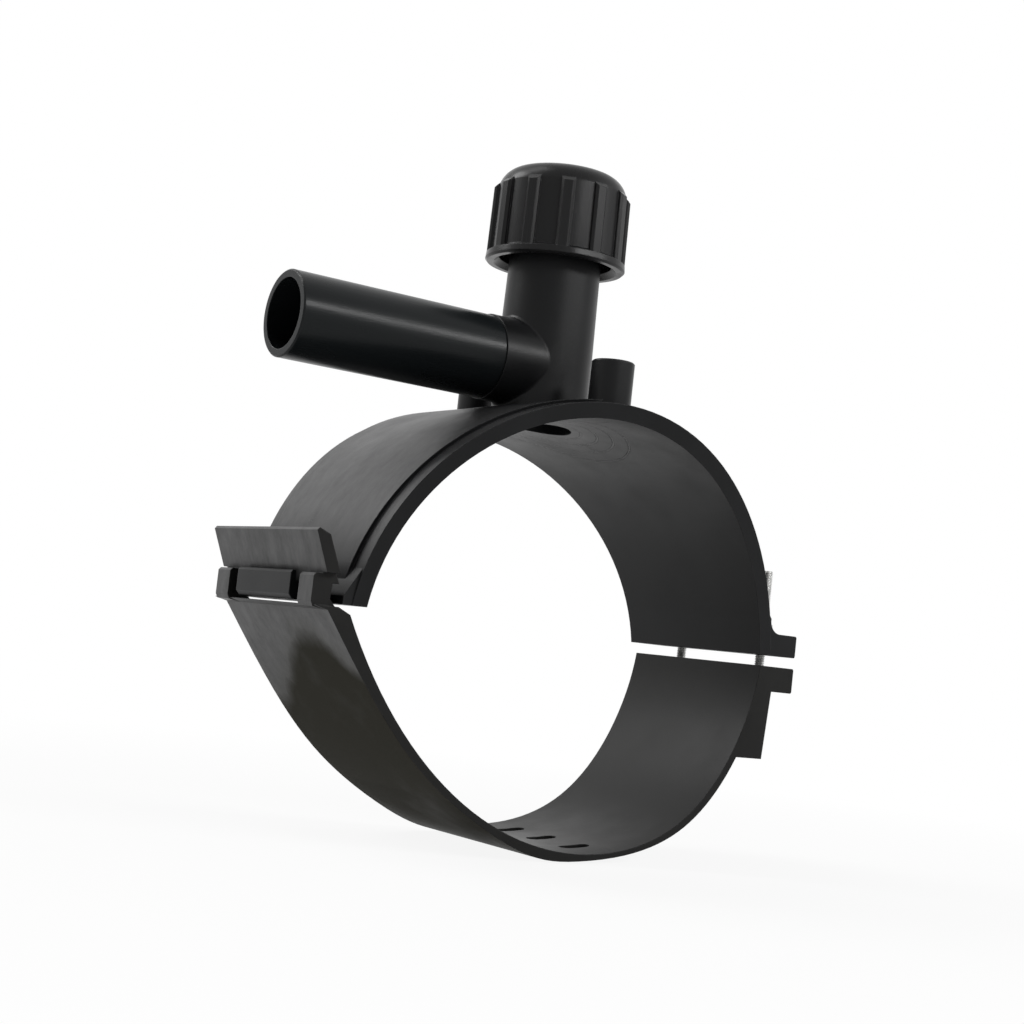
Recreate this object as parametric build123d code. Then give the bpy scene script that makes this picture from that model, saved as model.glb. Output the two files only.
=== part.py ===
from build123d import *
from math import cos, radians, sin, sqrt
import os

os.makedirs("parts", exist_ok=True)

# Electrofusion tapping saddle for 180 mm polyethylene main with a 32 mm outlet.
# Frame: origin on the main's axis under the stack, +Y along the main, +Z up the stack.
# The outlet and the hook side lie towards -X, the bolted flanges towards +X.

# --- main and saddle shell --------------------------------------------------
PIPE_R = 90.0
WALL = 7.2
END_Z = 12.0
WING_HALF_W = 41.1
CROWN_HALF_W = 55.9
RIM_W = 8.0
RIM_STEP = 1.4

# --- stack, heights above the main ------------------------------------------
BORE_R = 13.5
STACK_WALL = 4.4
STACK_TAPER = 1.0
COLLAR_OUT = 4.1
COLLAR_RISE = 71.0
COLLAR_H = 23.0

# --- outlet -----------------------------------------------------------------
OUTLET_R = 16.0
OUTLET_WALL = 3.0
OUTLET_RISE = 23.0
STUB_OVER = 0.5
STUB_SHOULDER = 1.4
STUB_FILLET = 1.4
SEAM_X = -28.0
OUTLET_END_X = -113.6

# --- cap --------------------------------------------------------------------
CAP_WALL = 3.5
CAP_ROOF = 3.9
CAP_SKIRT = 7.7
CAP_FIT = 0.10
CAP_RIM_OUT = 2.0
CAP_RIM_H = 4.0
CAP_RIBS = 12
CAP_RIB_W = 5.2
CAP_RIB_OUT = 1.7
CAP_RIB_SHORT = 7.2
GATE_R = 4.0
SEAL_ROOM = 3.0
CAP_SEAL_W = 3.6
CAP_SEAL_FIT = 0.15

# --- cutter -----------------------------------------------------------------
CUTTER_FIT = 0.08
CUTTER_DROP = 8.0
CUTTER_HEAD_H = 26.0
CUTTER_EDGE_IN = 1.7
CUTTER_WALL = 2.2
CUTTER_HEX = 17.0
CUTTER_SOCKET = 13.0
SEAL_SECTION = 2.2
SEAL_DROP = 4.5

# --- terminals and heating coil ---------------------------------------------
TERMINAL_Y = 45.5
TERMINAL_R = 8.0
TERMINAL_WALL = 2.2
TERMINAL_RISE = 22.6
TERMINAL_DEEP = 13.6
PIN_R = 2.35
PIN_DROP = 2.4
PIN_SHOULDER = 0.55
COIL_CLEAR = 4.0
COIL_PITCH = 6.4
COIL_TURNS = 4
COIL_W = 0.8
COIL_DEEP = 0.8
EMBED = 0.04

# --- flanges and bolts ------------------------------------------------------
FLANGE_OUT = 18.2
FLANGE_T = 8.7
FLANGE_ROOT_R = 5.0
GAP = 4.3
LOW_FLANGE_OVER = 1.0
LOW_FLANGE_T = 9.9
BOLT_EDGE = 4.0
BOLT_Y = 25.0
BOLT_R = 2.0
BOLT_TIP_RISE = 25.6
BOLT_FIT = 0.15
NUT_FIT = 0.30
SWING_FIT = 0.60
NUT_AF = 7.0
NUT_H = 3.2
HEAD_H = 2.8
WASHER_OVER = 0.9
WASHER_T = 0.8

# --- strap: how far its inside hangs within the main's surface, by angle ----
STRAP_HALF_W = 40.0
BAND = 2.9
SLACK = ((-12, 2.8), (-45, 9.7), (-80, 20.1), (-115, 24.2), (-145, 19.9), (-170, 8.1))
SLACK_BAND = (2.9, 2.7, 2.7, 2.7, 3.1, 4.4)
BULGE_ANGLE = -92
BULGE_T = 3.7
BULGE_SLACK = 22.3
GUSSET_OUT = 8.2
GUSSET_DROP = 41.0
GUSSET_W = 5.0
SLOT_X = 23.0
SLOT_PITCH = 22.0
SLOT_LONG = 13.0
SLOT_W = 6.0
SLOT_SLACK = 20.4

# --- hook and buckle --------------------------------------------------------
FOOT_OUT = 8.5
FOOT_H = 7.0
LUG_HALF_W = 21.0
LUG_OUT = 19.0
LUG_TIP_T = 1.9
LUG_H = 10.2
SEAT_H = 6.6
WINDOW_PLAY = 6.8
BAR_INSET = 2.0
PLATE_OVER = 1.0
PLATE_T = 5.2
PLATE_H = 14.6
PLATE_TOP_OUT = 21.2
PLATE_LOW_OUT = 15.6
SILL_DROP = 1.0
HOOK_FIT = 0.12

# --- what follows from these ------------------------------------------------
SHELL_R = PIPE_R + WALL
RIM_R = SHELL_R - RIM_STEP
STACK_TOP_R = max(BORE_R + STACK_WALL, OUTLET_R + STUB_OVER + STUB_SHOULDER)
STACK_ROOT_R = STACK_TOP_R + STACK_TAPER
COLLAR_R = STACK_TOP_R + COLLAR_OUT
COLLAR_Z = PIPE_R + COLLAR_RISE
STACK_TOP_Z = COLLAR_Z + COLLAR_H
OUTLET_Z = PIPE_R + OUTLET_RISE
OUTLET_BORE_R = OUTLET_R - OUTLET_WALL
STUB_R = OUTLET_R + STUB_OVER

CAP_R = COLLAR_R + CAP_WALL
CAP_RIM_R = CAP_R + CAP_RIM_OUT
CAP_RIB_R = CAP_R + CAP_RIB_OUT
CAP_Z = COLLAR_Z - CAP_SKIRT
CAP_TOP_Z = STACK_TOP_Z + SEAL_ROOM + CAP_ROOF
CAP_RIB_TOP_Z = CAP_TOP_Z - CAP_RIB_SHORT

CUTTER_Z = OUTLET_Z + OUTLET_BORE_R
CUTTER_TOP_Z = STACK_TOP_Z - CUTTER_DROP
CUTTER_HEAD_Z = CUTTER_TOP_Z - CUTTER_HEAD_H
CUTTER_EDGE_R = BORE_R - CUTTER_EDGE_IN
CUTTER_HOLLOW_R = CUTTER_EDGE_R - CUTTER_WALL
SEAL_Z = CUTTER_TOP_Z - SEAL_DROP
SEAL_GROOVE_R = BORE_R - SEAL_SECTION - 0.2

TERMINAL_BORE_R = TERMINAL_R - TERMINAL_WALL
TERMINAL_TOP_Z = PIPE_R + TERMINAL_RISE
TERMINAL_FLOOR_Z = TERMINAL_TOP_Z - TERMINAL_DEEP
PIN_TOP_Z = TERMINAL_TOP_Z - PIN_DROP
PIN_ROOT_R = PIN_R + PIN_SHOULDER
COIL_FIRST_R = BORE_R + COIL_CLEAR

FLANGE_X = PIPE_R + FLANGE_OUT
FLANGE_TOP_Z = END_Z + FLANGE_T
STRAP_TOP_Z = END_Z - GAP
STRAP_LOW_Z = STRAP_TOP_Z - LOW_FLANGE_T
BOLT_X = FLANGE_X - BOLT_EDGE
BOLT_TIP_Z = FLANGE_TOP_Z + BOLT_TIP_RISE
BOLT_HOLE_R = BOLT_R + BOLT_FIT
NUT_BORE_R = BOLT_R + NUT_FIT
SWING_HOLE_R = BOLT_R + SWING_FIT
WASHER_R = NUT_AF / 2 + WASHER_OVER
GUSSET_X = PIPE_R + GUSSET_OUT
GUSSET_Z = END_Z - GUSSET_DROP
SLACK_INSIDE = [(angle, PIPE_R - slack) for angle, slack in SLACK]

FOOT_X = -PIPE_R - FOOT_OUT
FOOT_TOP_Z = END_Z + FOOT_H
LUG_X = -PIPE_R - LUG_OUT
LUG_TIP_Z = END_Z + LUG_H
SEAT_Z = END_Z + SEAT_H
WINDOW_HALF_W = LUG_HALF_W + WINDOW_PLAY
BAR_HALF_W = STRAP_HALF_W - BAR_INSET
PLATE_HALF_W = STRAP_HALF_W + PLATE_OVER
PLATE_TOP_X = -PIPE_R - PLATE_TOP_OUT
PLATE_LOW_X = -PIPE_R - PLATE_LOW_OUT
PLATE_TOP_Z = LUG_TIP_Z + PLATE_H
SILL_Z = END_Z - SILL_DROP


def polar(radius, angle):
    return (radius * cos(radians(angle)), radius * sin(radians(angle)))


def across(sketch, half):
    return extrude(sketch, amount=half, both=True)


def post(radius, z0, z1, x=0, y=0):
    return Pos(x, y, z0) * extrude(Circle(radius), amount=z1 - z0)


def slab(x0, x1, y0, y1, z0, z1):
    centre = Pos((x0 + x1) / 2, (y0 + y1) / 2, (z0 + z1) / 2)
    return centre * Box(abs(x1 - x0), abs(y1 - y0), abs(z1 - z0))


def upright(*points):
    """A closed outline of x, z points, standing square to the main."""
    return Plane.XZ * make_face(Polyline(*points, close=True))


def pipe_along_main(radius, half):
    return across(Plane.XZ * Circle(radius), half)


# ---------------------------------------------------------------------------
# saddle


def half_width(z):
    """The wings are narrow at the flanges and widen towards the crown."""
    return WING_HALF_W + (CROWN_HALF_W - WING_HALF_W) * (z / PIPE_R) ** 2


def side_outline(inset):
    top = SHELL_R + 2
    edge = [(half_width(z) - inset, z) for z in (0, top / 2, top)]
    far = [(-y, z) for y, z in edge]
    lines = [
        ThreePointArc(*edge),
        Line(edge[2], far[2]),
        ThreePointArc(*far[::-1]),
        Line(far[0], edge[0]),
    ]
    return extrude(Plane.YZ * make_face(lines), amount=SHELL_R + 20, both=True)


def rim_steps():
    """What is cut away to leave a thinner border along both curved rims."""
    ring = pipe_along_main(SHELL_R + 1, 2 * CROWN_HALF_W) - pipe_along_main(RIM_R, 3 * CROWN_HALF_W)
    return ring & (side_outline(0) - side_outline(RIM_W))


def shell():
    tube = pipe_along_main(SHELL_R, 2 * CROWN_HALF_W) - pipe_along_main(PIPE_R, 3 * CROWN_HALF_W)
    reach = 2 * SHELL_R
    arch = tube & slab(-reach, reach, -reach, reach, END_Z, reach)
    return (arch & side_outline(0)) - rim_steps()


def upper_flange():
    top = FLANGE_TOP_Z
    root = sqrt(RIM_R ** 2 - top ** 2)
    ear = upright(
        (PIPE_R + 2, END_Z),
        (FLANGE_X, END_Z),
        (FLANGE_X, top),
        (root + FLANGE_ROOT_R, top),
        (root - 0.9, top + FLANGE_ROOT_R + 2.4),
        (PIPE_R, top + 4),
    )
    cove = Pos(root + FLANGE_ROOT_R + 0.6, 0, top + FLANGE_ROOT_R + 0.2) * pipe_along_main(
        FLANGE_ROOT_R + 0.2, WING_HALF_W + 1
    )
    ear = across(ear, WING_HALF_W) - cove
    return fillet(ear.edges().filter_by(Axis.Y).group_by(Axis.X)[-1], 0.8)


def hook_foot():
    """Thickened foot along the left wing and the upturned lug the strap hooks on."""
    foot = across(
        upright(
            (-PIPE_R - 1, END_Z),
            (FOOT_X, END_Z),
            (FOOT_X, FOOT_TOP_Z - 4),
            (-sqrt(RIM_R ** 2 - (FOOT_TOP_Z + 6) ** 2), FOOT_TOP_Z + 6),
            (-PIPE_R, FOOT_TOP_Z + 4),
        ),
        WING_HALF_W,
    )
    foot = foot - pipe_along_main(PIPE_R, WING_HALF_W + 1)
    lug = across(
        upright(
            (FOOT_X + 2, END_Z + 0.2),
            (LUG_X + 1.4, END_Z + 0.2),
            (LUG_X, END_Z + 1.8),
            (LUG_X, LUG_TIP_Z - 0.8),
            (LUG_X + 0.7, LUG_TIP_Z),
            (LUG_X + LUG_TIP_T, LUG_TIP_Z),
            (LUG_X + LUG_TIP_T + 0.5, SEAT_Z),
            (FOOT_X + 2, SEAT_Z),
        ),
        LUG_HALF_W,
    )
    return foot + lug


def stack():
    root_z = PIPE_R + 3
    barrel = Pos(0, 0, root_z) * Cone(
        STACK_ROOT_R,
        STACK_TOP_R,
        COLLAR_Z - root_z,
        align=(Align.CENTER, Align.CENTER, Align.MIN),
    )
    collar = post(COLLAR_R, COLLAR_Z, STACK_TOP_Z)
    collar = chamfer(collar.edges().filter_by(GeomType.CIRCLE), 0.9)
    stub = Pos(0, 0, OUTLET_Z) * Rot(0, -90, 0) * extrude(Circle(STUB_R), amount=-SEAM_X)
    body = barrel + collar + stub
    return fillet(body.edges().filter_by(GeomType.BSPLINE), STUB_FILLET)


def terminal_tower(side):
    tower = post(TERMINAL_R, PIPE_R + 2.5, TERMINAL_TOP_Z, 0, side * TERMINAL_Y)
    return chamfer(tower.edges().group_by(Axis.Z)[-1], 0.5)


def saddle_cavities():
    bore = post(BORE_R, PIPE_R - 8, STACK_TOP_Z + 1)
    branch = Pos(0, 0, OUTLET_Z) * Rot(0, -90, 0) * extrude(Circle(OUTLET_BORE_R), amount=-SEAM_X + 1)
    cut = bore + branch
    for side in (-1, 1):
        y = side * TERMINAL_Y
        cut += post(TERMINAL_BORE_R, TERMINAL_FLOOR_Z, TERMINAL_TOP_Z + 1, 0, y)
        cut += post(PIN_ROOT_R + EMBED, PIPE_R + COIL_DEEP, TERMINAL_FLOOR_Z + 1, 0, y)
        cut += post(SWING_HOLE_R, END_Z - 1, FLANGE_TOP_Z + 1, BOLT_X, side * BOLT_Y)
    return cut


def saddle_body():
    body = shell() + stack() + upper_flange() + hook_foot()
    body = body + terminal_tower(-1) + terminal_tower(1)
    body = body - pipe_along_main(PIPE_R, 2 * CROWN_HALF_W)
    return body - saddle_cavities() - coil(EMBED)


def coil(grow):
    """Flat resistance wire laid in rings round the tapping bore, with a lead to each pin."""
    half_l = TERMINAL_Y + PIN_ROOT_R
    track = pipe_along_main(PIPE_R + COIL_DEEP + grow, half_l) - pipe_along_main(PIPE_R, half_l + 1)
    low = PIPE_R - 20
    high = PIPE_R + 5
    rings = None
    for turn in range(COIL_TURNS):
        radius = COIL_FIRST_R + turn * COIL_PITCH
        ring = post(radius + COIL_W / 2 + grow, low, high)
        ring = ring - post(radius - COIL_W / 2 - grow, low - 1, high + 1)
        rings = ring if rings is None else rings + ring
    half = COIL_W / 2 + grow
    last = COIL_FIRST_R + (COIL_TURNS - 1) * COIL_PITCH
    for side in (-1, 1):
        rings += slab(-half, half, side * last, side * (TERMINAL_Y + half), low, high)
    for turn in range(COIL_TURNS - 1):
        radius = COIL_FIRST_R + turn * COIL_PITCH
        side = 1 if turn % 2 else -1
        rings += slab(side * radius, side * (radius + COIL_PITCH), -half, half, low, high)
    return track & rings


def outlet_spigot():
    length = SEAM_X - OUTLET_END_X
    tube = extrude(Circle(OUTLET_R), amount=length)
    tube = chamfer(tube.edges().group_by(Axis.Z)[-1], 0.5)
    tube = tube - Pos(0, 0, -1) * extrude(Circle(OUTLET_BORE_R), amount=length + 2)
    return Pos(SEAM_X, 0, OUTLET_Z) * Rot(0, -90, 0) * tube


def terminal_pin(side):
    y = side * TERMINAL_Y
    pin = post(PIN_R, TERMINAL_FLOOR_Z - 1, PIN_TOP_Z, 0, y)
    pin = chamfer(pin.edges().group_by(Axis.Z)[-1], 0.6)
    return pin + post(PIN_ROOT_R, PIPE_R + COIL_DEEP + EMBED, TERMINAL_FLOOR_Z, 0, y)


# ---------------------------------------------------------------------------
# cap, cutter and seals


def cap_profile():
    dome = CAP_TOP_Z - 8.0
    lines = [
        Line((0, CAP_Z), (CAP_RIM_R - 0.8, CAP_Z)),
        Line((CAP_RIM_R - 0.8, CAP_Z), (CAP_RIM_R, CAP_Z + 0.8)),
        Line((CAP_RIM_R, CAP_Z + 0.8), (CAP_RIM_R - 0.2, CAP_Z + CAP_RIM_H - 1)),
        Line((CAP_RIM_R - 0.2, CAP_Z + CAP_RIM_H - 1), (CAP_R, CAP_Z + CAP_RIM_H)),
        Line((CAP_R, CAP_Z + CAP_RIM_H), (CAP_R - 0.3, dome)),
        ThreePointArc((CAP_R - 0.3, dome), (CAP_R - 3.2, dome + 5.2), (CAP_R - 10, dome + 7.5)),
        Line((CAP_R - 10, dome + 7.5), (GATE_R, CAP_TOP_Z)),
        Line((GATE_R, CAP_TOP_Z), (0, CAP_TOP_Z)),
        Line((0, CAP_TOP_Z), (0, CAP_Z)),
    ]
    return make_face(lines)


def cap_rib():
    out = CAP_RIB_R
    rib = make_face(
        Polyline(
            (CAP_R - 2, CAP_Z + CAP_RIM_H - 1),
            (out, CAP_Z + CAP_RIM_H - 1),
            (out - 0.3, CAP_RIB_TOP_Z - 1.8),
            (CAP_R - 0.6, CAP_RIB_TOP_Z),
            (CAP_R - 2, CAP_RIB_TOP_Z),
            close=True,
        )
    )
    bar = extrude(Plane.XZ * rib, amount=CAP_RIB_W / 2, both=True)
    return chamfer(bar.faces().sort_by(Axis.X)[-1].edges().filter_by(Axis.Y, reverse=True), 0.9)


def cap():
    body = revolve(Plane.XZ * cap_profile(), Axis.Z)
    rib = cap_rib()
    for step in range(CAP_RIBS):
        body += Rot(0, 0, step * 360 / CAP_RIBS) * rib
    hollow = post(COLLAR_R + CAP_FIT, CAP_Z - 1, CAP_TOP_Z - CAP_ROOF)
    mouth = Pos(0, 0, CAP_Z) * Cone(
        COLLAR_R + 2.2,
        COLLAR_R,
        2.2,
        align=(Align.CENTER, Align.CENTER, Align.MIN),
    )
    return body - hollow - mouth


def cap_seal():
    """Flat ring that lies between the collar's end and the cap's roof."""
    low = STACK_TOP_Z + CAP_SEAL_FIT
    high = CAP_TOP_Z - CAP_ROOF - CAP_SEAL_FIT
    middle = (BORE_R + COLLAR_R) / 2
    inside = post(middle - CAP_SEAL_W / 2, low - 1, high + 1)
    return post(middle + CAP_SEAL_W / 2, low, high) - inside


def cutter():
    head_r = BORE_R - CUTTER_FIT
    body = post(head_r, CUTTER_HEAD_Z, CUTTER_TOP_Z)
    body = chamfer(body.edges().filter_by(GeomType.CIRCLE), 0.8)
    body = body + post(CUTTER_EDGE_R, CUTTER_Z, CUTTER_HEAD_Z + 1)
    hollow = post(CUTTER_HOLLOW_R, CUTTER_Z - 1, CUTTER_HEAD_Z + 4)
    edge = Pos(0, 0, CUTTER_Z) * Cone(
        CUTTER_EDGE_R - 0.3,
        CUTTER_HOLLOW_R,
        4.0,
        align=(Align.CENTER, Align.CENTER, Align.MIN),
    )
    socket = Pos(0, 0, CUTTER_TOP_Z - CUTTER_SOCKET) * extrude(
        RegularPolygon(CUTTER_HEX / 2, 6, major_radius=False),
        amount=CUTTER_SOCKET + 1,
    )
    half = SEAL_SECTION / 2 + 0.2
    ring = post(head_r + 1, SEAL_Z - half, SEAL_Z + half)
    ring = ring - post(SEAL_GROOVE_R, SEAL_Z - 2 * half, SEAL_Z + 2 * half)
    return body - hollow - edge - socket - ring


def cutter_seal():
    """Square-section sealing ring in the groove of the cutter's head."""
    half = SEAL_SECTION / 2
    outside = post(BORE_R - CUTTER_FIT, SEAL_Z - half, SEAL_Z + half)
    outside = chamfer(outside.edges().filter_by(GeomType.CIRCLE), 0.3)
    return outside - post(SEAL_GROOVE_R + 0.1, SEAL_Z - SEAL_SECTION, SEAL_Z + SEAL_SECTION)


# ---------------------------------------------------------------------------
# strap


def band_outline():
    """The slack band from the bolted flange to the sill, a little thicker just past its lowest part."""
    inner = [(PIPE_R + 1.6, STRAP_TOP_Z)]
    outer = [(PIPE_R + 1.6 + BAND, STRAP_TOP_Z)]
    for (angle, radius), thick in zip(SLACK_INSIDE, SLACK_BAND):
        inner.append(polar(radius, angle))
        outer.append(polar(radius + thick, angle))
    outer.insert(4, polar(PIPE_R - BULGE_SLACK + BULGE_T, BULGE_ANGLE))
    inner.append((FOOT_X + 4.0, SILL_Z - 2.2))
    outer.append((FOOT_X - 4.8, SILL_Z - 1.4))
    lip = (LUG_X + 0.8, SILL_Z - 0.2)
    lines = [
        Spline(*inner),
        Line(inner[-1], (FOOT_X - 0.8, SILL_Z)),
        Line((FOOT_X - 0.8, SILL_Z), (lip[0] + 0.6, SILL_Z)),
        Line((lip[0] + 0.6, SILL_Z), lip),
        Line(lip, outer[-1]),
        Spline(*outer),
        Line(outer[0], inner[0]),
    ]
    return Plane.XZ * make_face(lines)


def lower_flange():
    ear = across(
        upright(
            (PIPE_R + 2.2, STRAP_TOP_Z),
            (FLANGE_X + LOW_FLANGE_OVER, STRAP_TOP_Z),
            (FLANGE_X + LOW_FLANGE_OVER, STRAP_LOW_Z),
            (PIPE_R + 1.4, STRAP_LOW_Z),
        ),
        STRAP_HALF_W,
    )
    ear = fillet(ear.edges().filter_by(Axis.Y).group_by(Axis.X)[-1], 0.8)
    web = upright(
        (PIPE_R + 2.0, STRAP_LOW_Z + 2),
        (GUSSET_X + 0.4, STRAP_LOW_Z + 2),
        (GUSSET_X - 1.6, GUSSET_Z),
        (PIPE_R - 7.0, GUSSET_Z),
    )
    for y in (-STRAP_HALF_W + GUSSET_W / 2, 0, STRAP_HALF_W - GUSSET_W / 2):
        ear += Pos(0, y, 0) * across(web, GUSSET_W / 2)
    return ear


def plate_x(z):
    """Outer face of the leaning finger plate at a height."""
    lean = (PLATE_TOP_X - PLATE_LOW_X) / (PLATE_TOP_Z - LUG_TIP_Z)
    return PLATE_LOW_X + lean * (z - LUG_TIP_Z)


def finger_plate():
    low = SEAT_Z + HOOK_FIT
    plate = across(
        upright(
            (plate_x(low), low),
            (PLATE_TOP_X, PLATE_TOP_Z - 1),
            (PLATE_TOP_X + 0.8, PLATE_TOP_Z),
            (PLATE_TOP_X + PLATE_T, PLATE_TOP_Z - 1.8),
            (plate_x(low) + PLATE_T, low),
        ),
        PLATE_HALF_W,
    )
    beyond = slab(PLATE_TOP_X - 9, -PIPE_R, BAR_HALF_W, PLATE_HALF_W + 9, low - 1, LUG_TIP_Z)
    return plate - beyond - mirror(beyond, Plane.XZ)


def buckle_bars():
    bar = upright(
        (FOOT_X - 0.8, SILL_Z - 0.5),
        (FOOT_X - 4.8, SILL_Z - 1.4),
        (LUG_X + 0.8, SILL_Z - 0.6),
        (LUG_X, SILL_Z + 1.0),
        (LUG_X, LUG_TIP_Z - 1.4),
        (LUG_X + 0.9, LUG_TIP_Z - 0.5),
        (plate_x(LUG_TIP_Z) + PLATE_T - 1.0, LUG_TIP_Z - 0.5),
        (FOOT_X - 3.4, SILL_Z + 2.4),
    )
    width = BAR_HALF_W - WINDOW_HALF_W
    near = Pos(0, -(WINDOW_HALF_W + BAR_HALF_W) / 2, 0) * across(bar, width / 2)
    return near + mirror(near, Plane.XZ)


def flex_slots():
    """Three short round-ended pockets in a row across the lowest part of the band's inside."""
    slot = Pos(SLOT_X, 0, SLOT_SLACK - PIPE_R) * extrude(SlotOverall(SLOT_LONG, SLOT_W), amount=30)
    return slot + Pos(0, SLOT_PITCH, 0) * slot + Pos(0, -SLOT_PITCH, 0) * slot


def strap():
    body = across(band_outline(), STRAP_HALF_W) + lower_flange()
    body = body - flex_slots()
    body = body + finger_plate() + buckle_bars()
    for side in (-1, 1):
        body -= post(BOLT_HOLE_R, STRAP_LOW_Z - 1, STRAP_TOP_Z + 1, BOLT_X, side * BOLT_Y)
    return body


# ---------------------------------------------------------------------------
# fasteners


def hexagon(af, height):
    prism = extrude(RegularPolygon(af / 2, 6, major_radius=False), amount=height)
    crown = Cone(af / 2 + 0.2 + height, af / 2 + 0.2, height, align=(Align.CENTER, Align.CENTER, Align.MIN))
    return prism & crown


def bolt(side):
    under = STRAP_LOW_Z - WASHER_T
    head = Pos(0, 0, under) * Rot(180, 0, 0) * hexagon(NUT_AF, HEAD_H)
    shank = post(BOLT_R, under - 0.5, BOLT_TIP_Z)
    shank = chamfer(shank.edges().group_by(Axis.Z)[-1], 0.6)
    return Pos(BOLT_X, side * BOLT_Y, 0) * (head + shank)


def nut(side):
    seat = FLANGE_TOP_Z + WASHER_T
    body = Pos(0, 0, seat) * hexagon(NUT_AF, NUT_H) - post(NUT_BORE_R, seat - 1, seat + NUT_H + 1)
    return Pos(BOLT_X, side * BOLT_Y, 0) * body


def washer(side, z, hole):
    ring = post(WASHER_R, z, z + WASHER_T) - post(hole, z - 1, z + WASHER_T + 1)
    return Pos(BOLT_X, side * BOLT_Y, 0) * ring


def save(name, shape):
    export_step(shape, f"parts/{name}.step")


save("saddle_body", saddle_body())
save("outlet_spigot", outlet_spigot())
save("heating_coil", coil(0))
save("terminal_pin_front", terminal_pin(-1))
save("terminal_pin_rear", terminal_pin(1))
save("cutter", cutter())
save("cutter_seal", cutter_seal())
save("cap", cap())
save("cap_seal", cap_seal())
save("strap", strap())
for name, side in (("front", -1), ("rear", 1)):
    save(f"bolt_{name}", bolt(side))
    save(f"nut_{name}", nut(side))
    save(f"washer_top_{name}", washer(side, FLANGE_TOP_Z, NUT_BORE_R))
    save(f"washer_low_{name}", washer(side, STRAP_LOW_Z - WASHER_T, BOLT_HOLE_R))
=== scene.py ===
import math

import bmesh
import bpy
from bpy.props import FloatProperty, FloatVectorProperty, IntProperty, PointerProperty
from bpy.types import Operator, Panel, PropertyGroup
from mathutils import Matrix, Vector


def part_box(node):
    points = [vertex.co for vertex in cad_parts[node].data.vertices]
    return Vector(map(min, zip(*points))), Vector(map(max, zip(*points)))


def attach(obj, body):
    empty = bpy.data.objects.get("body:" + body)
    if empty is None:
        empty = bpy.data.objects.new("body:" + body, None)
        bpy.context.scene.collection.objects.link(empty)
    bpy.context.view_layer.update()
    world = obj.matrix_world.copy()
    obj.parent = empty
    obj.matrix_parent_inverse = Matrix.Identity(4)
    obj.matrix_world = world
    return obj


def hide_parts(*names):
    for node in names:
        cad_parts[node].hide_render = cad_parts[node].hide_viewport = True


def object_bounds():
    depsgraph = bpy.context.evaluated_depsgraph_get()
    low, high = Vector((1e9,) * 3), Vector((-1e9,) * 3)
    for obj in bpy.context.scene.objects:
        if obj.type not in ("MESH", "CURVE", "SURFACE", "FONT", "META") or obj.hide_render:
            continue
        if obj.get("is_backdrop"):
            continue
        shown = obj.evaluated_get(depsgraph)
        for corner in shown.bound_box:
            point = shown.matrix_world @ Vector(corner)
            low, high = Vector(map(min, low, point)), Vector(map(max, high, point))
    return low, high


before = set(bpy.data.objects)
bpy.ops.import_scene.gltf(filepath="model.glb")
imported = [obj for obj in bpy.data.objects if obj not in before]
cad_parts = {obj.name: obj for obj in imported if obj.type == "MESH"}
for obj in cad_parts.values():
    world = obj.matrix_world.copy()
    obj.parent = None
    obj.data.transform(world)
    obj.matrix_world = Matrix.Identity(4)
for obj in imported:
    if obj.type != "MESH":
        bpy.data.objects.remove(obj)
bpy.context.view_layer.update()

bl_info = {
    "name": "Tapping Saddle",
    "version": (1, 0, 0),
    "blender": (4, 5, 0),
    "location": "View3D > Sidebar > Tapping Saddle",
    "description": "Finishes, threads and studio for an electrofusion tapping saddle",
    "category": "Object",
}

MM = 0.001

MATT_SPECULAR = 0.14        # specular level of the black polyethylene and the wire's skin
BOLT_RADIUS = 2.0 * MM
HEAD_ACROSS_FLATS = 7.0 * MM
HEAD_CHAMFER = 0.5 * MM     # height of the cone on the head's outer end
HEAD_STEPS = 48             # points round the head
TIP_LENGTH = 0.5 * MM       # the thread narrows over this length at its tip
TIP_SLOPE = 0.6
FLOOR_REACH = 6.0           # half the floor's side, in metres
SHADOW_REACH = (0.1, 0.55)  # the floor's shadow fades between these distances
FLOOR_WHITE = (0.9, 1.0)    # share of plain white near the object and far from it
CAMERA_TURN = (0.586, 0.0753, -0.1103)  # yaw, pitch and roll, in radians
CAMERA_PLACE = (-0.39025, -0.57699, 0.00352)


# ---------------------------------------------------------------------------
# sizes and colours


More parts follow.
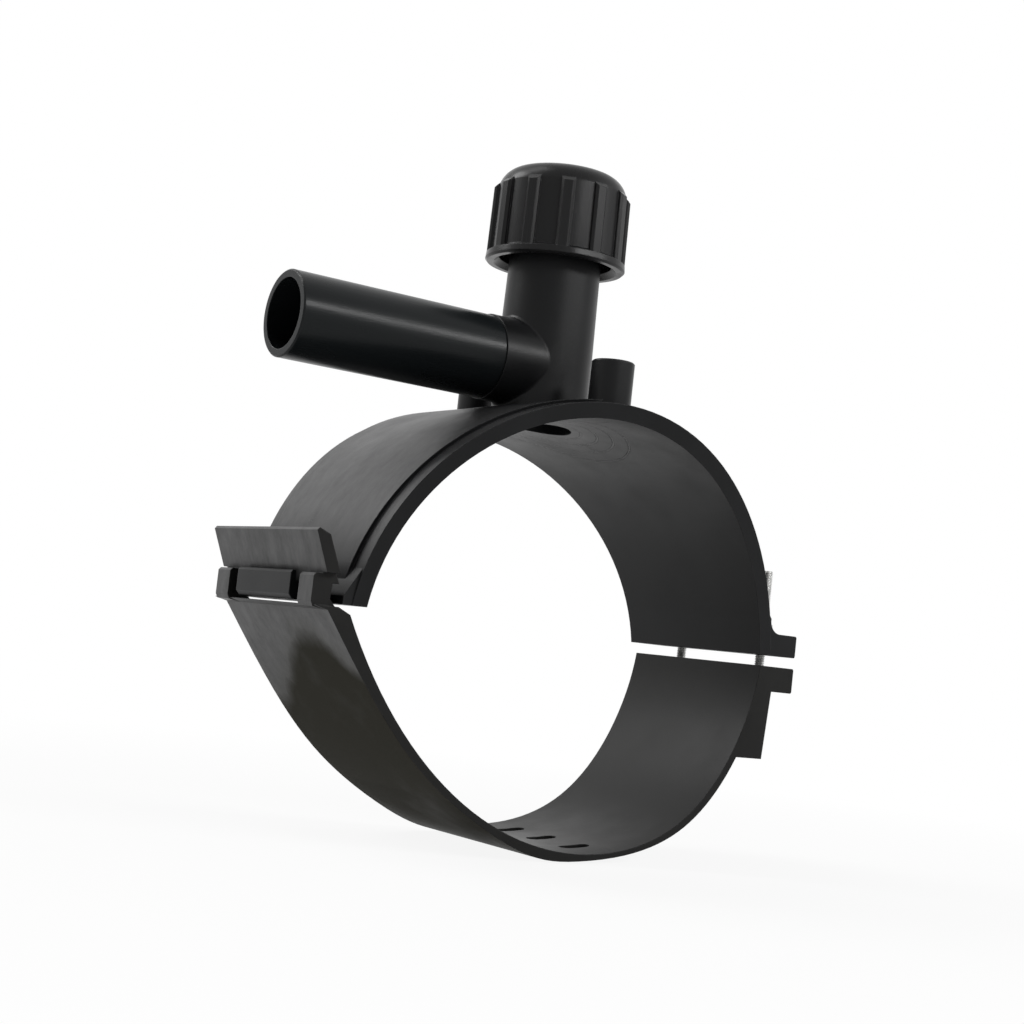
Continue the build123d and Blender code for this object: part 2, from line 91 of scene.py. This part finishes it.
class MouldingSettings(PropertyGroup):
    saddle_colour: FloatVectorProperty(
        name="Saddle colour",
        description="Colour of the black polyethylene of the saddle and its stack",
        subtype="COLOR", size=3, min=0, max=1, default=(0.0062, 0.0064, 0.0068),
    )
    outlet_colour: FloatVectorProperty(
        name="Outlet colour",
        description="Cooler black of the extruded outlet pipe",
        subtype="COLOR", size=3, min=0, max=1, default=(0.0056, 0.0068, 0.0074),
    )
    cap_colour: FloatVectorProperty(
        name="Cap colour",
        description="Colour of the screw cap",
        subtype="COLOR", size=3, min=0, max=1, default=(0.0105, 0.0105, 0.0108),
    )
    strap_colour: FloatVectorProperty(
        name="Strap colour",
        description="Colour of the flexible strap",
        subtype="COLOR", size=3, min=0, max=1, default=(0.0075, 0.0074, 0.007),
    )
    stain_colour: FloatVectorProperty(
        name="Soil colour",
        description="Brown film of dried soil on the outside of the strap's hook side",
        subtype="COLOR", size=3, min=0, max=1, default=(0.021, 0.0195, 0.0135),
    )
    # Painted sheen: a paler grey put on the lit outside of the hook side in place of the key light's sheen,
    # broken up with scuff noise
    painted_sheen_colour: FloatVectorProperty(
        name="Dust colour",
        description="Pale bloom and scuffing on the outside of the hook side",
        subtype="COLOR", size=3, min=0, max=1, default=(0.12, 0.12, 0.121),
    )
    # Painted highlight: a paler grey along the moulded edges in place of their glints, broken up with scuff
    # noise
    edge_highlight_colour: FloatVectorProperty(
        name="Rubbed edge colour",
        description="Paler grey where the moulding's edges are rubbed",
        subtype="COLOR", size=3, min=0, max=1, default=(0.05, 0.05, 0.052),
    )
    grain: FloatProperty(
        name="Grain depth",
        description="Depth of the fine grain left by the mould",
        subtype="DISTANCE", unit="LENGTH", min=0, max=0.001, default=0.03 * MM,
    )
    edge_radius: FloatProperty(
        name="Edge radius",
        description="Rounding of the moulded edges",
        subtype="DISTANCE", unit="LENGTH", min=0, max=0.003, default=0.45 * MM,
    )


class MetalSettings(PropertyGroup):
    zinc_colour: FloatVectorProperty(
        name="Zinc colour",
        description="Colour of the plated bolts, nuts and washers",
        subtype="COLOR", size=3, min=0, max=1, default=(0.58, 0.58, 0.57),
    )
    brass_colour: FloatVectorProperty(
        name="Brass colour",
        description="Colour of the terminal pins and the cutter",
        subtype="COLOR", size=3, min=0, max=1, default=(0.66, 0.5, 0.22),
    )


class BoltSettings(PropertyGroup):
    pitch: FloatProperty(
        name="Thread pitch",
        description="Distance from one turn of the bolt's thread to the next",
        subtype="DISTANCE", unit="LENGTH", min=0.0003, max=0.003, default=0.7 * MM,
    )
    thread_depth: FloatProperty(
        name="Thread depth",
        description="Depth of the bolt's thread",
        subtype="DISTANCE", unit="LENGTH", min=0.0001, max=0.001, default=0.38 * MM,
    )
    sides: IntProperty(
        name="Facets per turn",
        description="Number of facets round the bolt's thread",
        min=12, max=96, default=28,
    )


class StageSettings(PropertyGroup):
    floor_colour: FloatVectorProperty(
        name="Floor colour",
        description="Colour of the studio floor",
        subtype="COLOR", size=3, min=0, max=1, default=(0.86, 0.86, 0.86),
    )
    key_power: FloatProperty(
        name="Key light",
        description="Power of the soft light behind the hook side, which the others follow",
        unit="POWER", min=0, max=500, default=11.5,
    )
    lens: FloatProperty(
        name="Lens",
        description="Focal length of the camera in millimetres",
        min=10, max=300, default=63.28,
    )


# ---------------------------------------------------------------------------
# materials


class Nodes:
    """Shorthand for building one material's node tree."""

    def __init__(self, name):
        self.material = bpy.data.materials.new(name)
        self.material.use_nodes = True
        self.tree = self.material.node_tree
        self.shader = self.tree.nodes["Principled BSDF"]
        self.place = self.add("ShaderNodeTexCoord").outputs["Object"]

    def add(self, kind, **settings):
        node = self.tree.nodes.new(kind)
        for key, value in settings.items():
            setattr(node, key, value)
        return node

    def join(self, source, target):
        self.tree.links.new(source, target)

    def noise(self, scale, detail, rough, stretch=None):
        node = self.add("ShaderNodeTexNoise")
        node.inputs["Scale"].default_value = scale
        node.inputs["Detail"].default_value = detail
        node.inputs["Roughness"].default_value = rough
        self.join(self.stretched(stretch) if stretch else self.place, node.inputs["Vector"])
        return node.outputs["Fac"]

    def stretched(self, factors):
        node = self.add("ShaderNodeMapping")
        node.inputs["Scale"].default_value = factors
        self.join(self.place, node.inputs["Vector"])
        return node.outputs["Vector"]

    def span(self, value, low, high, new_low=0.0, new_high=1.0):
        node = self.add("ShaderNodeMapRange")
        node.inputs["From Min"].default_value = low
        node.inputs["From Max"].default_value = high
        node.inputs["To Min"].default_value = new_low
        node.inputs["To Max"].default_value = new_high
        self.join(value, node.inputs["Value"])
        return node.outputs["Result"]

    def maths(self, operation, *values):
        node = self.add("ShaderNodeMath", operation=operation)
        for value, socket in zip(values, node.inputs):
            if isinstance(value, (int, float)):
                socket.default_value = value
            else:
                self.join(value, socket)
        return node.outputs[0]

    def blend(self, amount, first, second):
        node = self.add("ShaderNodeMix", data_type="RGBA")
        colours = [socket for socket in node.inputs if socket.type == "RGBA"]
        for value, socket in zip((first, second), colours):
            if isinstance(value, bpy.types.NodeSocket):
                self.join(value, socket)
            else:
                socket.default_value = (*value, 1)
        self.join(amount, node.inputs[0])
        return [socket for socket in node.outputs if socket.type == "RGBA"][0]

    def along(self, axis):
        """Position along X, Y or Z, in metres."""
        node = self.add("ShaderNodeSeparateXYZ")
        self.join(self.place, node.inputs["Vector"])
        return node.outputs[axis]

    def outside(self):
        """1 on faces that look away from the main's axis, 0 on those that look towards it."""
        flat = self.add("ShaderNodeVectorMath", operation="MULTIPLY")
        flat.inputs[1].default_value = (1, 0, 1)
        self.join(self.place, flat.inputs[0])
        away = self.add("ShaderNodeVectorMath", operation="NORMALIZE")
        self.join(flat.outputs["Vector"], away.inputs[0])
        dot = self.add("ShaderNodeVectorMath", operation="DOT_PRODUCT")
        self.join(away.outputs["Vector"], dot.inputs[0])
        self.join(self.add("ShaderNodeNewGeometry").outputs["Normal"], dot.inputs[1])
        return self.span(dot.outputs["Value"], 0.1, 0.5)

    def rounded(self, radius):
        node = self.add("ShaderNodeBevel", samples=4)
        node.inputs["Radius"].default_value = radius
        return node.outputs["Normal"]

    def edges(self, radius):
        """1 on an edge that stands out or in, 0 on a smooth face."""
        dot = self.add("ShaderNodeVectorMath", operation="DOT_PRODUCT")
        self.join(self.rounded(radius), dot.inputs[0])
        self.join(self.add("ShaderNodeNewGeometry").outputs["Normal"], dot.inputs[1])
        return self.span(dot.outputs["Value"], 0.985, 0.8)

    def bump(self, height, distance, normal=None):
        node = self.add("ShaderNodeBump")
        node.inputs["Distance"].default_value = distance
        node.inputs["Strength"].default_value = 1.0
        self.join(height, node.inputs["Height"])
        if normal is not None:
            self.join(normal, node.inputs["Normal"])
        return node.outputs["Normal"]


def moulded_plastic(name, colour, rough, grain_scale, stretch=None, streak=0.06, painted_sheen=None, soil=None):
    """Moulded polyethylene: fine grain, cloudy gloss, and painted highlights along the edges.

    The last two arguments are functions that give the masks: one for a painted sheen, paler grey where the
    key light falls, and one for a film of soil.
    """
    look = bpy.context.scene.saddle_moulding
    nodes = Nodes(name)
    cloud = nodes.noise(38.0, 5.0, 0.6, stretch)
    patch = nodes.noise(12.0, 3.0, 0.5)
    grain = nodes.noise(grain_scale, 3.0, 0.6, stretch)
    scuff = nodes.noise(160.0, 6.0, 0.7, (1.0, 1.0, 0.25))
    tone = nodes.blend(nodes.span(cloud, 0.35, 0.7), tuple(colour), tuple(c * 1.45 for c in colour))
    gloss = nodes.span(cloud, 0.3, 0.7, rough - streak, rough + streak)
    gloss = nodes.maths("ADD", gloss, nodes.span(patch, 0.3, 0.7, -0.04, 0.05))
    if painted_sheen is not None:
        # painted sheen: the lit outside of the hook side turned paler, broken up with scuff noise
        bloom = nodes.maths("MULTIPLY", painted_sheen(nodes), nodes.span(scuff, 0.3, 0.75, 0.35, 1.0))
        tone = nodes.blend(bloom, tone, tuple(look.painted_sheen_colour))
    if soil is not None:
        film = soil(nodes, cloud)
        tone = nodes.blend(film, tone, tuple(look.stain_colour))
        gloss = nodes.maths("MAXIMUM", gloss, nodes.maths("MULTIPLY", film, 0.85))
    # painted highlight: the edges turned paler grey, broken up with scuff noise
    painted_edge_glint = nodes.maths("MULTIPLY", nodes.edges(0.7 * MM), nodes.span(scuff, 0.4, 0.66))
    tone = nodes.blend(nodes.maths("MULTIPLY", painted_edge_glint, 0.75), tone, tuple(look.edge_highlight_colour))
    nodes.join(tone, nodes.shader.inputs["Base Color"])
    nodes.join(gloss, nodes.shader.inputs["Roughness"])
    wavy = nodes.bump(patch, 0.25 * MM, nodes.rounded(look.edge_radius))
    nodes.join(nodes.bump(grain, look.grain, wavy), nodes.shader.inputs["Normal"])
    nodes.shader.inputs["Specular IOR Level"].default_value = MATT_SPECULAR
    nodes.shader.inputs["IOR"].default_value = 1.5
    return nodes.material


def wing_painted_sheen(nodes):
    """Painted sheen: the outside of the wing on the hook side made paler where the key light falls, fading
    out low down towards the foot.
    """
    side = nodes.maths("MULTIPLY", nodes.outside(), nodes.span(nodes.along("X"), -0.03, -0.075, 0.0, 0.8))
    return nodes.maths("MULTIPLY", side, nodes.span(nodes.along("Z"), 0.022, 0.048))


def hook_painted_sheen(nodes):
    """Painted sheen: the outside of the strap round its hook made paler towards the top, where the key light
    falls, fading out downwards towards the soil.
    """
    side = nodes.maths("MULTIPLY", nodes.outside(), nodes.span(nodes.along("X"), -0.07, -0.09))
    return nodes.maths("MULTIPLY", side, nodes.span(nodes.along("Z"), -0.04, 0.0))


def strap_soil(nodes, cloud):
    """Dried soil on the outside of the strap's hook side, from a soft arched line downwards."""
    side = nodes.maths("MULTIPLY", nodes.outside(), nodes.span(nodes.along("X"), 0.03, -0.03))
    off = nodes.maths("ABSOLUTE", nodes.maths("ADD", nodes.along("Y"), 0.014))
    line = nodes.span(off, 0.008, 0.05, 0.0, 0.026)
    ragged = nodes.maths("ADD", nodes.along("Z"), nodes.span(cloud, 0.3, 0.7, -0.003, 0.003))
    below = nodes.span(nodes.maths("ADD", ragged, line), 0.008, -0.004)
    thick = nodes.maths("MULTIPLY", below, nodes.span(cloud, 0.25, 0.5, 0.82, 1.0))
    return nodes.maths("MULTIPLY", side, thick)


def bare_metal(name, colour, rough, scale, stretch):
    """Metal with dull clouds and fine tool marks drawn out by stretch."""
    nodes = Nodes(name)
    cloud = nodes.noise(220.0, 4.0, 0.6)
    lines = nodes.noise(scale, 4.0, 0.6, stretch)
    dull = tuple(c * 0.62 for c in colour)
    tone = nodes.blend(nodes.span(cloud, 0.4, 0.75), tuple(colour), dull)
    nodes.join(tone, nodes.shader.inputs["Base Color"])
    nodes.join(nodes.span(cloud, 0.3, 0.7, rough - 0.08, rough + 0.12), nodes.shader.inputs["Roughness"])
    nodes.join(nodes.bump(lines, 0.02 * MM, nodes.rounded(0.12 * MM)), nodes.shader.inputs["Normal"])
    nodes.shader.inputs["Metallic"].default_value = 1.0
    return nodes.material


def sealing_rubber():
    """Dull black rubber with a faint grey bloom."""
    nodes = Nodes("sealing rubber")
    bloom = nodes.noise(260.0, 5.0, 0.6)
    black = (0.012, 0.012, 0.012)
    grey = (0.03, 0.03, 0.031)
    tone = nodes.blend(nodes.span(bloom, 0.4, 0.75), black, grey)
    nodes.join(tone, nodes.shader.inputs["Base Color"])
    nodes.join(nodes.span(bloom, 0.3, 0.7, 0.62, 0.8), nodes.shader.inputs["Roughness"])
    nodes.join(nodes.bump(bloom, 0.03 * MM), nodes.shader.inputs["Normal"])
    return nodes.material


def coated_wire():
    """Heating wire under a thin black skin, glossier than the moulding round it."""
    nodes = Nodes("skinned wire")
    ripple = nodes.noise(700.0, 3.0, 0.6)
    deep = (0.004, 0.004, 0.004)
    rubbed = (0.01, 0.0095, 0.009)
    tone = nodes.blend(nodes.span(ripple, 0.35, 0.7), deep, rubbed)
    nodes.join(tone, nodes.shader.inputs["Base Color"])
    nodes.join(nodes.span(ripple, 0.3, 0.7, 0.25, 0.42), nodes.shader.inputs["Roughness"])
    nodes.join(nodes.bump(ripple, 0.05 * MM, nodes.rounded(0.35 * MM)), nodes.shader.inputs["Normal"])
    nodes.shader.inputs["Specular IOR Level"].default_value = MATT_SPECULAR
    return nodes.material


def dress(material, *names):
    """Give the named CAD nodes this material in place of their own."""
    for name in names:
        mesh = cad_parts[name].data
        mesh.materials.clear()
        mesh.materials.append(material)


# ---------------------------------------------------------------------------
# operators


class SADDLE_OT_mouldings(Operator):
    """Give the saddle, outlet, cap and strap their moulded black finishes"""

    bl_idname = "saddle.mouldings"
    bl_label = "Finish mouldings"

    def execute(self, context):
        look = context.scene.saddle_moulding
        saddle = moulded_plastic("saddle moulding", look.saddle_colour, 0.36, 1500.0, painted_sheen=wing_painted_sheen)
        outlet = moulded_plastic(
            "outlet pipe", look.outlet_colour, 0.25, 1100.0, stretch=(0.12, 1.0, 1.0), streak=0.05
        )
        cap = moulded_plastic(
            "cap moulding", look.cap_colour, 0.28, 1500.0, stretch=(1.0, 1.0, 0.12), streak=0.14
        )
        strap = moulded_plastic(
            "strap moulding", look.strap_colour, 0.38, 1300.0, painted_sheen=hook_painted_sheen, soil=strap_soil
        )
        dress(saddle, "saddle_body")
        dress(outlet, "outlet_spigot")
        dress(cap, "cap")
        dress(strap, "strap")
        return {"FINISHED"}


class SADDLE_OT_inner_parts(Operator):
    """Finish the cutter, seals, terminal pins and heating wire"""

    bl_idname = "saddle.inner_parts"
    bl_label = "Finish inner parts"

    def execute(self, context):
        metal = context.scene.saddle_metal
        brass = bare_metal("turned brass", metal.brass_colour, 0.3, 900.0, (1.0, 1.0, 8.0))
        dress(brass, "cutter", "terminal_pin_front", "terminal_pin_rear")
        dress(coated_wire(), "heating_coil")
        dress(sealing_rubber(), "cutter_seal", "cap_seal")
        return {"FINISHED"}


def thread_mesh(bm, radius, depth, pitch, low, high, sides):
    """A screw thread whose rows climb with the helix, cut off flat at both ends."""
    # each step of the profile: share of the pitch, and how far out it stands
    profile = ((0.0, radius - depth), (0.3, radius), (0.45, radius), (0.8, radius - depth))
    turns = int((high - low) / pitch) + 2
    rows = []
    for turn in range(-1, turns):
        for part, out in profile:
            row = []
            for side in range(sides + 1):
                angle = 2 * math.pi * side / sides
                climb = low + pitch * (turn + part + side / sides)
                z = min(max(climb, low), high)
                r = out if low < climb < high else radius - depth
                if high - z < TIP_LENGTH:
                    r = min(r, radius - depth + (high - z) * TIP_SLOPE)
                row.append(bm.verts.new((r * math.cos(angle), r * math.sin(angle), z)))
            rows.append(row)
    for lower, upper in zip(rows, rows[1:]):
        for side in range(sides):
            quad = (lower[side], lower[side + 1], upper[side + 1], upper[side])
            bm.faces.new(quad)
    bm.faces.new(rows[-1][:-1])
    bm.faces.new(list(reversed(rows[0][:-1])))


def hex_head(bm, across_flats, low, high):
    """A hexagon head whose outer end is turned to a low cone."""
    corner = across_flats / math.sqrt(3)
    rings = []
    for z, limit in ((high, None), (low + HEAD_CHAMFER, None), (low, across_flats / 2 * 0.97)):
        ring = []
        for step in range(HEAD_STEPS):
            angle = 2 * math.pi * step / HEAD_STEPS
            off = (angle + math.pi / 6) % (math.pi / 3) - math.pi / 6
            flat = across_flats / 2 / math.cos(math.pi / 6 - abs(off))
            r = flat if limit is None else min(flat, limit)
            if limit is None and z < high:
                r = min(r, corner * 0.985)
            ring.append(bm.verts.new((r * math.cos(angle), r * math.sin(angle), z)))
        rings.append(ring)
    for upper, lower in zip(rings, rings[1:]):
        for step in range(HEAD_STEPS):
            after = (step + 1) % HEAD_STEPS
            bm.faces.new((upper[step], lower[step], lower[after], upper[after]))
    bm.faces.new(rings[0])
    bm.faces.new(list(reversed(rings[-1])))


class SADDLE_OT_bolts(Operator):
    """Model the two threaded bolts and finish the nuts and washers"""

    bl_idname = "saddle.bolts"
    bl_label = "Build bolts"

    def execute(self, context):
        size = context.scene.saddle_bolts
        metal = context.scene.saddle_metal
        zinc = bare_metal("bright zinc", metal.zinc_colour, 0.3, 1200.0, (1.0, 1.0, 4.0))
        for name in ("front", "rear"):
            low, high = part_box(f"bolt_{name}")
            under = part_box(f"washer_low_{name}")[0][2]
            start = under - 0.3 * MM
            bm = bmesh.new()
            hex_head(bm, HEAD_ACROSS_FLATS, low[2], under)
            thread_mesh(bm, BOLT_RADIUS, size.thread_depth, size.pitch, start, high[2], size.sides)
            bmesh.ops.remove_doubles(bm, verts=bm.verts, dist=1e-7)
            bmesh.ops.recalc_face_normals(bm, faces=bm.faces)
            centre = Vector(((low[0] + high[0]) / 2, (low[1] + high[1]) / 2, 0))
            bm.transform(Matrix.Translation(centre))
            mesh = bpy.data.meshes.new(f"threaded_bolt_{name}")
            bm.to_mesh(mesh)
            bm.free()
            mesh.materials.append(zinc)
            piece = bpy.data.objects.new(f"threaded_bolt_{name}", mesh)
            context.scene.collection.objects.link(piece)
            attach(piece, "strap")
            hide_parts(f"bolt_{name}")
            dress(zinc, f"nut_{name}", f"washer_top_{name}", f"washer_low_{name}")
        return {"FINISHED"}


def area_light(name, power, size, place, target):
    lamp = bpy.data.lights.new(name, "AREA")
    lamp.energy = power
    lamp.shape = "RECTANGLE"
    lamp.size, lamp.size_y = size
    holder = bpy.data.objects.new(name, lamp)
    holder.location = place
    holder.rotation_euler = (Vector(target) - Vector(place)).to_track_quat("-Z", "Y").to_euler()
    bpy.context.scene.collection.objects.link(holder)


def seen_directly(tree):
    """1 for rays from the camera, and for those mirrored or passed through by the object."""
    path = tree.nodes.new("ShaderNodeLightPath")
    total = path.outputs["Is Camera Ray"]
    for name in ("Is Glossy Ray", "Is Transmission Ray"):
        add = tree.nodes.new("ShaderNodeMath")
        add.operation = "MAXIMUM"
        tree.links.new(total, add.inputs[0])
        tree.links.new(path.outputs[name], add.inputs[1])
        total = add.outputs[0]
    return total


class SADDLE_OT_stage(Operator):
    """Set up the pale floor, the soft lights, the white surround and the camera"""

    bl_idname = "saddle.stage"
    bl_label = "Set up stage"

    def execute(self, context):
        scene = context.scene
        stage = scene.saddle_stage
        low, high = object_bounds()
        self.floor(scene, stage, low[2] - 0.5 * MM)
        self.surround(scene)
        area_light("key", stage.key_power, (0.6, 0.6), (-0.8, 0.8, 0.9), (0, 0, 0.04))
        area_light("fill", stage.key_power * 0.8, (1.1, 0.16), (0.45, -0.95, 0.62), (-0.05, 0, 0.1))
        area_light("top", stage.key_power * 0.25, (0.5, 0.5), (-0.5, 0.3, 1.2), (0, 0, 0.04))
        self.camera(scene, stage)
        scene.view_settings.view_transform = "Standard"
        return {"FINISHED"}

    def floor(self, scene, stage, height):
        mesh = bpy.data.meshes.new("studio_floor")
        turns = ((-1, -1), (1, -1), (1, 1), (-1, 1))
        corners = [(x * FLOOR_REACH, y * FLOOR_REACH, height) for x, y in turns]
        mesh.from_pydata(corners, [], [(0, 1, 2, 3)])
        floor = bpy.data.objects.new("studio_floor", mesh)
        scene.collection.objects.link(floor)
        material = bpy.data.materials.new("pale floor")
        material.use_nodes = True
        tree = material.node_tree
        paint = tree.nodes["Principled BSDF"]
        paint.inputs["Base Color"].default_value = (*stage.floor_colour, 1)
        paint.inputs["Roughness"].default_value = 0.9
        paint.inputs["Specular IOR Level"].default_value = 0.0
        white = tree.nodes.new("ShaderNodeEmission")
        mix = tree.nodes.new("ShaderNodeMixShader")
        place = tree.nodes.new("ShaderNodeTexCoord")
        away = tree.nodes.new("ShaderNodeVectorMath")
        away.operation = "LENGTH"
        fade = tree.nodes.new("ShaderNodeMapRange")
        fade.inputs["From Min"].default_value, fade.inputs["From Max"].default_value = SHADOW_REACH
        fade.inputs["To Min"].default_value, fade.inputs["To Max"].default_value = FLOOR_WHITE
        tree.links.new(place.outputs["Object"], away.inputs[0])
        tree.links.new(away.outputs["Value"], fade.inputs["Value"])
        seen = tree.nodes.new("ShaderNodeMath")
        seen.operation = "MULTIPLY"
        tree.links.new(seen_directly(tree), seen.inputs[0])
        tree.links.new(fade.outputs["Result"], seen.inputs[1])
        tree.links.new(seen.outputs[0], mix.inputs["Fac"])
        tree.links.new(paint.outputs["BSDF"], mix.inputs[1])
        tree.links.new(white.outputs["Emission"], mix.inputs[2])
        tree.links.new(mix.outputs["Shader"], tree.nodes["Material Output"].inputs["Surface"])
        mesh.materials.append(material)
        floor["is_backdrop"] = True

    def surround(self, scene):
        world = bpy.data.worlds.new("white surround")
        world.use_nodes = True
        tree = world.node_tree
        ambient = tree.nodes["Background"]
        ambient.inputs["Color"].default_value = (1, 1, 1, 1)
        ambient.inputs["Strength"].default_value = 0.05
        white = tree.nodes.new("ShaderNodeBackground")
        white.inputs["Color"].default_value = (1, 1, 1, 1)
        white.inputs["Strength"].default_value = 1.0
        mix = tree.nodes.new("ShaderNodeMixShader")
        tree.links.new(seen_directly(tree), mix.inputs["Fac"])
        tree.links.new(ambient.outputs["Background"], mix.inputs[1])
        tree.links.new(white.outputs["Background"], mix.inputs[2])
        tree.links.new(mix.outputs["Shader"], tree.nodes["World Output"].inputs["Surface"])
        scene.world = world

    def camera(self, scene, stage):
        yaw, pitch, roll = CAMERA_TURN
        forward = Vector((math.sin(yaw) * math.cos(pitch), math.cos(yaw) * math.cos(pitch), math.sin(pitch)))
        level = Vector((math.cos(yaw), -math.sin(yaw), 0))
        down = forward.cross(level)
        right = math.cos(roll) * level + math.sin(roll) * down
        up = math.sin(roll) * level - math.cos(roll) * down
        lens = bpy.data.cameras.new("studio_camera")
        lens.lens = stage.lens
        lens.sensor_width = 36.0
        lens.clip_start = 0.01
        camera = bpy.data.objects.new("studio_camera", lens)
        turn = Matrix((right, up, -forward)).transposed().to_4x4()
        camera.matrix_world = Matrix.Translation(CAMERA_PLACE) @ turn
        scene.collection.objects.link(camera)
        scene.camera = camera


class SADDLE_PT_panel(Panel):
    """Sidebar panel with the settings and the steps"""

    bl_label = "Tapping Saddle"
    bl_idname = "SADDLE_PT_panel"
    bl_space_type = "VIEW_3D"
    bl_region_type = "UI"
    bl_category = "Tapping Saddle"

    def draw(self, context):
        for group in GROUPS:
            box = self.layout.box()
            settings = getattr(context.scene, group)
            for name in settings.bl_rna.properties.keys():
                if name not in ("rna_type", "name"):
                    box.prop(settings, name)
        for step in STEPS:
            self.layout.operator(step.bl_idname)


GROUPS = {
    "saddle_moulding": MouldingSettings,
    "saddle_metal": MetalSettings,
    "saddle_bolts": BoltSettings,
    "saddle_stage": StageSettings,
}
STEPS = (SADDLE_OT_mouldings, SADDLE_OT_inner_parts, SADDLE_OT_bolts, SADDLE_OT_stage)


def register():
    for group in GROUPS.values():
        bpy.utils.register_class(group)
    for name, group in GROUPS.items():
        setattr(bpy.types.Scene, name, PointerProperty(type=group))
    for step in (*STEPS, SADDLE_PT_panel):
        bpy.utils.register_class(step)


def unregister():
    for step in reversed((*STEPS, SADDLE_PT_panel)):
        bpy.utils.unregister_class(step)
    for name in GROUPS:
        delattr(bpy.types.Scene, name)
    for group in reversed(list(GROUPS.values())):
        bpy.utils.unregister_class(group)


def main():
    register()
    bpy.ops.saddle.mouldings()
    bpy.ops.saddle.inner_parts()
    bpy.ops.saddle.bolts()
    bpy.ops.saddle.stage()


if __name__ == "__main__":
    main()
